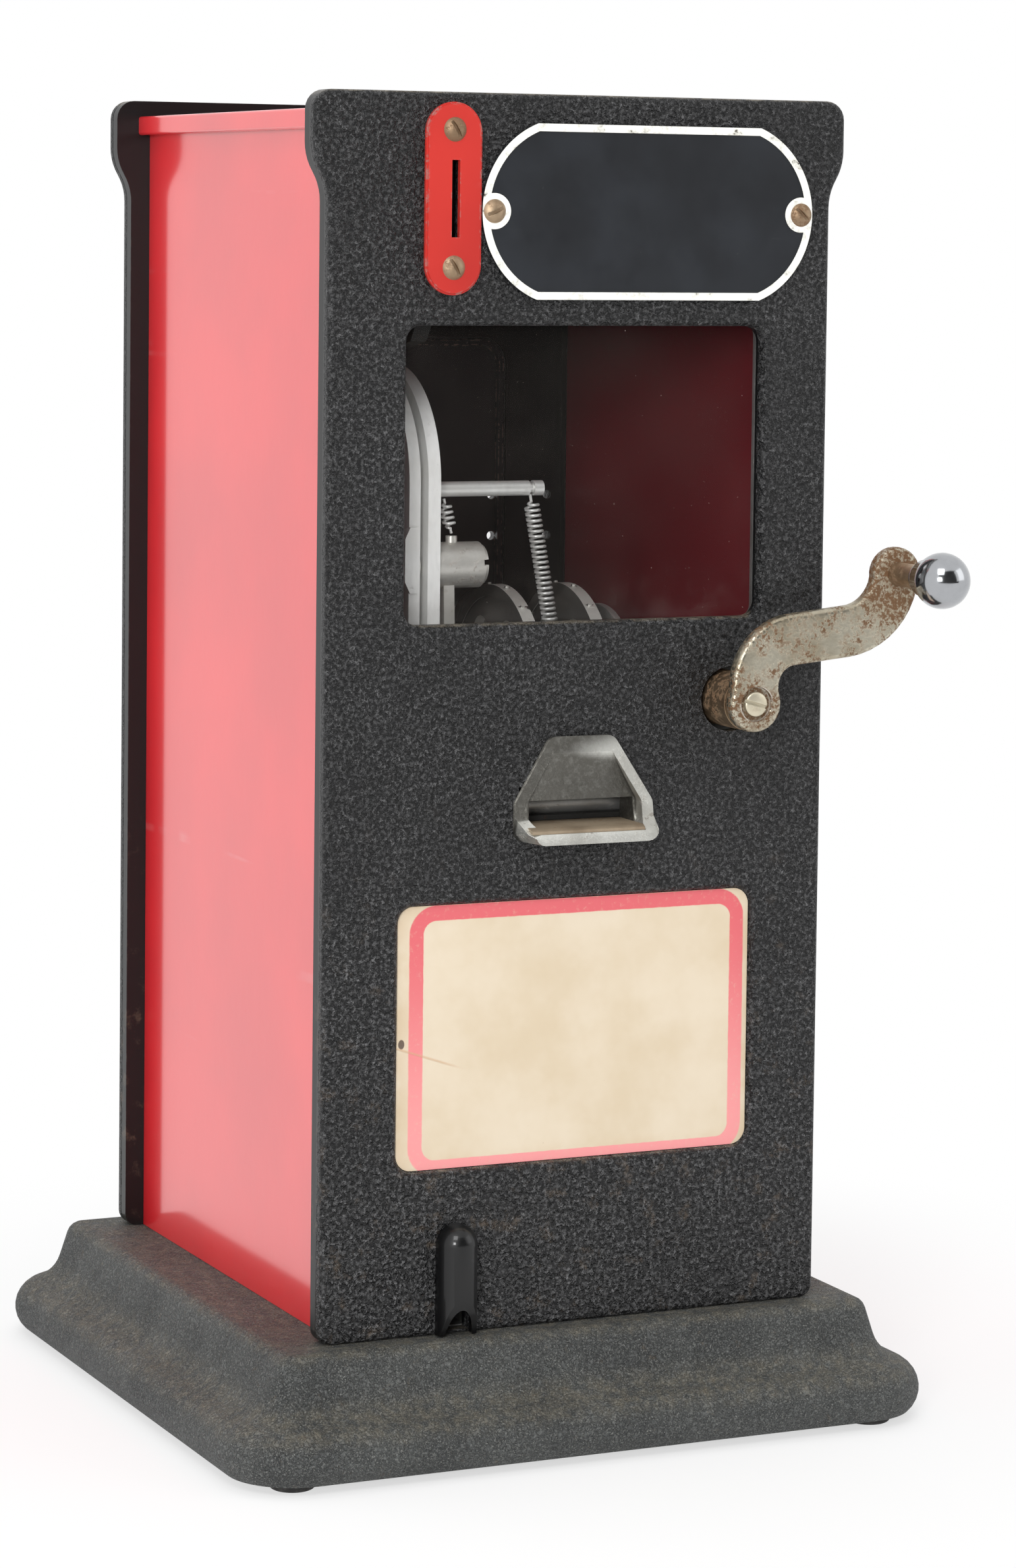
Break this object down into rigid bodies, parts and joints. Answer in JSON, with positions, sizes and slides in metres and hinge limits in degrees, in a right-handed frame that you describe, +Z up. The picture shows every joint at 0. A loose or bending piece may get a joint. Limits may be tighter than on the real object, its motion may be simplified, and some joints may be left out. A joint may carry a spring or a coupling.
{
  "type": "stamp vending machine",
  "caption": "Countertop stamp vending machine: square cast foot, cast end plates, red sheet sides, coin slot, window, side crank, feed drum, stamp mouth and rear door.",
  "frame": {"origin": "centre of the square foot's footprint, at the surface it stands on", "axes": "+X to the viewer's right, -Y out of the front with the coin slot and crank, +Z up"},
  "size_m": [0.1986, 0.222, 0.35],
  "materials": {
    "cast_black": "black wrinkle enamel with grey speckle",
    "cast_foot": "worn grey-black enamel, dusty",
    "rubber": "matte",
    "red_sheet": "gloss red enamel",
    "coin_red": "chipped orange-red enamel",
    "glass": "clear, dusty",
    "card": "aged printed card",
    "enamel_sign": "gloss black with a white raised border",
    "cast_aluminium": "worn casting",
    "black_gloss": "gloss black",
    "door_black": "satin black",
    "zinc_steel": "dull plated",
    "bright_steel": "bright",
    "aged_nickel": "aged nickel with rust",
    "rusty_steel": "browned with rust",
    "chrome": "polished",
    "brass": "dull"
  },
  "bodies": {
    "machine": {"base": "cast_foot", "feet": "rubber", "base_bolts": "zinc_steel", "front_plate": "cast_black", "rear_plate": "cast_black", "side_panel_left": "red_sheet", "side_panel_right": "red_sheet", "lid": "red_sheet", "window_glass": "glass", "glass_retainer": "zinc_steel", "retainer_screws": "zinc_steel", "label_card": "card", "sign_plate": "enamel_sign", "sign_screws": "rusty_steel", "coin_plate": "coin_red", "coin_plate_screws": "rusty_steel", "stamp_chute": "cast_aluminium", "tear_bar": "rusty_steel", "return_hood": "black_gloss", "return_channel": "zinc_steel", "frame_left": "zinc_steel", "frame_right": "zinc_steel", "frame_rods": "zinc_steel", "feed_tray": "zinc_steel", "crank_bracket": "zinc_steel", "crank_bushing": "rusty_steel", "spool_axle": "bright_steel", "chute_plate_left": "cast_aluminium", "chute_plate_right": "cast_aluminium", "chute_spacers": "zinc_steel", "coin_guide": "zinc_steel", "spring_rod": "bright_steel", "main_spring": "bright_steel", "coin_spring": "bright_steel", "lever_pivot": "zinc_steel", "cash_box": "zinc_steel", "hinge_fixed": "door_black", "hinge_pins": "zinc_steel"},
    "crank": {"crank_shaft": "bright_steel", "drive_pinion": "brass", "lock_disc": "zinc_steel", "crank_arm": "aged_nickel", "crank_screw": "aged_nickel", "knob_stud": "rusty_steel"},
    "knob": {"crank_knob": "chrome"},
    "drum": {"drum_shaft": "bright_steel", "feed_discs": "bright_steel", "crown_wheel": "brass", "ratchet_wheel": "zinc_steel"},
    "pawl": {"pawl": "zinc_steel"},
    "spool": {"spool": "zinc_steel"},
    "lock_lever": {"lock_lever": "zinc_steel"},
    "coin_lever": {"coin_lever": "aged_nickel"},
    "rear_door": {"rear_door": "door_black", "hinge_door": "door_black", "lock_barrel": "bright_steel"},
    "lock_cam": {"lock_cam": "bright_steel"}
  },
  "joints": [
    {"name": "crank_turn", "type": "hinge", "parent": "machine", "child": "crank", "pos_m": [0.0435, -0.0765, 0.1935], "axis": [0, 1, 0], "continuous": true},
    {"name": "knob_spin", "type": "hinge", "parent": "crank", "child": "knob", "pos_m": [0.08479, -0.11, 0.22644], "axis": [0, 1, 0], "continuous": true},
    {"name": "drum_feed", "type": "hinge", "parent": "machine", "child": "drum", "pos_m": [0.0035, -0.038, 0.1935], "axis": [1, 0, 0], "continuous": true},
    {"name": "pawl_lift", "type": "hinge", "parent": "machine", "child": "pawl", "pos_m": [-0.014, -0.018, 0.2025], "axis": [-1, 0, 0], "range_deg": [0, 25]},
    {"name": "spool_turn", "type": "hinge", "parent": "machine", "child": "spool", "pos_m": [0.0035, 0.024, 0.19], "axis": [1, 0, 0], "continuous": true},
    {"name": "lock_lever_swing", "type": "hinge", "parent": "machine", "child": "lock_lever", "pos_m": [-0.012, -0.07, 0.2], "axis": [0, 1, 0], "range_deg": [0, 8], "stiffness_Nm_per_rad": 0.5, "springref_deg": -5.73, "deforming": ["main_spring"]},
    {"name": "coin_lever_swing", "type": "hinge", "parent": "machine", "child": "coin_lever", "pos_m": [-0.025, -0.054, 0.2285], "axis": [-1, 0, 0], "range_deg": [0, 15], "stiffness_Nm_per_rad": 0.05, "springref_deg": -17.19, "deforming": ["coin_spring"]},
    {"name": "door_swing", "type": "hinge", "parent": "machine", "child": "rear_door", "pos_m": [0.0512, 0.0789, 0.162], "axis": [0, 0, -1], "range_deg": [0, 110]},
    {"name": "cam_turn", "type": "hinge", "parent": "rear_door", "child": "lock_cam", "pos_m": [-0.0346, 0.074, 0.165], "axis": [0, -1, 0], "range_deg": [0, 90]}
  ],
  "couplings": [
    {"joint": "drum_feed", "follows": "crank_turn", "ratio": -0.25}
  ]
}
